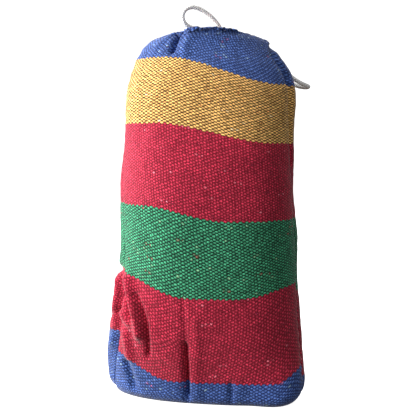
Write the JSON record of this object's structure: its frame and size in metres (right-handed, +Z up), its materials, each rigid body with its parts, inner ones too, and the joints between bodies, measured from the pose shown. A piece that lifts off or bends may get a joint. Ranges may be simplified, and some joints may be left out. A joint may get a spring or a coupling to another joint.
{
  "type": "packed canvas hammock",
  "caption": "Woven cotton hammock rolled up inside a drawstring carry bag sewn from the same wide-striped cloth, standing on its flat bottom.",
  "frame": {"origin": "middle of the flat bottom that the bag stands on", "axes": "+Z up from the bottom to the gathered mouth; the front panel faces -Y; +X to the right seen from the front"},
  "size_m": [0.1933, 0.1237, 0.3603],
  "materials": {
    "bag_canvas": "coarse plain-weave cotton canvas in wide woven stripes of blue, ochre, crimson and green",
    "bed_canvas": "the same striped cotton canvas, pressed and rolled",
    "sewing_thread": "matt spun polyester thread",
    "drawstring_cotton": "white braided cotton cord, matt",
    "natural_rope": "off-white twisted cotton rope, matt"
  },
  "bodies": {
    "root": {"front_panel": "bag_canvas", "back_panel": "bag_canvas", "left_seam_thread": "sewing_thread", "right_seam_thread": "sewing_thread", "bottom_seam_thread": "sewing_thread", "mouth_hem_thread": "sewing_thread", "drawstring_casing_run": "drawstring_cotton", "drawstring_knot": "drawstring_cotton", "bow_loop_top": "drawstring_cotton", "bow_loop_side": "drawstring_cotton", "bow_tail_left": "drawstring_cotton", "bow_tail_right": "drawstring_cotton", "tail_knot_left": "drawstring_cotton", "tail_knot_right": "drawstring_cotton", "hammock_bed": "bed_canvas", "head_clew_cords": "natural_rope", "foot_clew_cords": "natural_rope", "head_clew_whipping": "natural_rope", "foot_clew_whipping": "natural_rope", "head_end_loop": "natural_rope", "foot_end_loop": "natural_rope", "head_hanging_rope": "natural_rope", "foot_hanging_rope": "natural_rope"}
  },
  "joints": []
}
